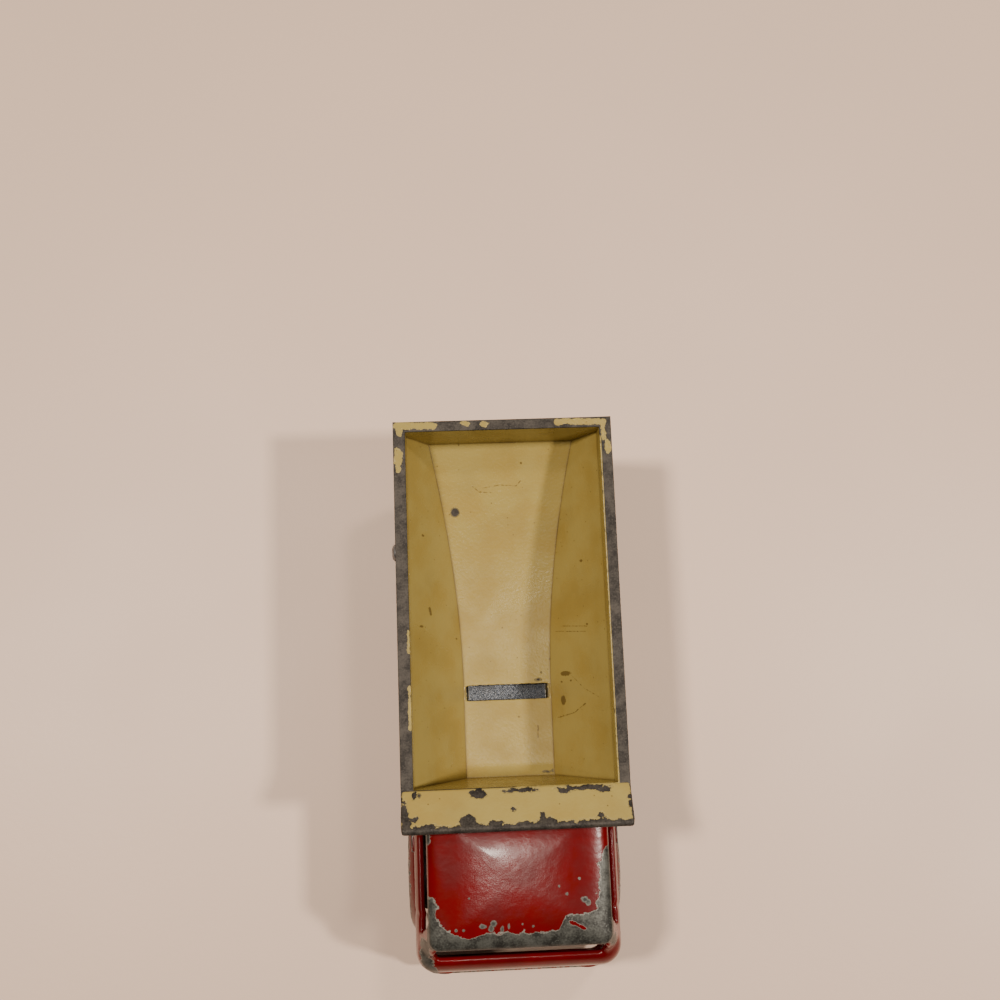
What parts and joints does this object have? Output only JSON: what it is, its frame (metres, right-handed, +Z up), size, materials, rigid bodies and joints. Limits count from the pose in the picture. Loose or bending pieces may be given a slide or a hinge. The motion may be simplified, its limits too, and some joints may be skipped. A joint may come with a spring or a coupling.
{
  "type": "toy dump truck",
  "caption": "Small die-cast toy dump truck: red cab, cream hopper with a slide gate in its floor, rolling wheels. The tipping joint is guessed; the real hopper may be fixed.",
  "frame": {"origin": "on the ground under the middle of the truck", "axes": "-Y towards the cab's front, +X towards the truck's left when sitting in it, which is the right of a viewer looking along +Y, +Z up"},
  "size_m": [0.0288, 0.0666, 0.0261],
  "materials": {
    "red_paint": "glossy dark red enamel, chipped to grey zinc along the roof edges",
    "cream_paint": "glossy cream enamel, worn to grey zinc along the rim",
    "bare_zinc": "dull bare cast metal",
    "steel": "dull drawn steel",
    "hub_grey": "satin moulded plastic",
    "black_rubber": "matt moulded rubber"
  },
  "bodies": {
    "chassis": {"cab": "red_paint", "chassis_frame": "red_paint", "base_plate": "bare_zinc", "base_rivet_front": "bare_zinc", "base_rivet_rear": "bare_zinc", "front_axle": "steel", "rear_axle": "steel", "hinge_pin": "steel"},
    "hopper": {"hopper": "cream_paint", "gate_keeper": "bare_zinc", "keeper_rivet_left": "bare_zinc", "keeper_rivet_right": "bare_zinc"},
    "gate": {"gate_slide": "steel"},
    "wheel_front_left": {"front_hub_left": "hub_grey", "front_tyre_left": "black_rubber"},
    "wheel_front_right": {"front_hub_right": "hub_grey", "front_tyre_right": "black_rubber"},
    "wheel_rear_left": {"rear_hub_left": "hub_grey", "rear_tyre_left_outer": "black_rubber", "rear_tyre_left_inner": "black_rubber"},
    "wheel_rear_right": {"rear_hub_right": "hub_grey", "rear_tyre_right_outer": "black_rubber", "rear_tyre_right_inner": "black_rubber"}
  },
  "joints": [
    {"name": "hopper_tip", "type": "hinge", "parent": "chassis", "child": "hopper", "pos_m": [0, 0.0285, 0.0066], "axis": [-1, 0, 0], "range_deg": [0, 45]},
    {"name": "gate_pull", "type": "slide", "parent": "hopper", "child": "gate", "axis": [0, 1, 0], "range_m": [0, 0.0028]},
    {"name": "wheel_front_left_spin", "type": "hinge", "parent": "chassis", "child": "wheel_front_left", "pos_m": [-0.0108, -0.02, 0.0053], "axis": [1, 0, 0], "continuous": true},
    {"name": "wheel_front_right_spin", "type": "hinge", "parent": "chassis", "child": "wheel_front_right", "pos_m": [0.0108, -0.02, 0.0053], "axis": [1, 0, 0], "continuous": true},
    {"name": "wheel_rear_left_spin", "type": "hinge", "parent": "chassis", "child": "wheel_rear_left", "pos_m": [-0.0098, 0.02, 0.0053], "axis": [1, 0, 0], "continuous": true},
    {"name": "wheel_rear_right_spin", "type": "hinge", "parent": "chassis", "child": "wheel_rear_right", "pos_m": [0.0098, 0.02, 0.0053], "axis": [1, 0, 0], "continuous": true}
  ]
}
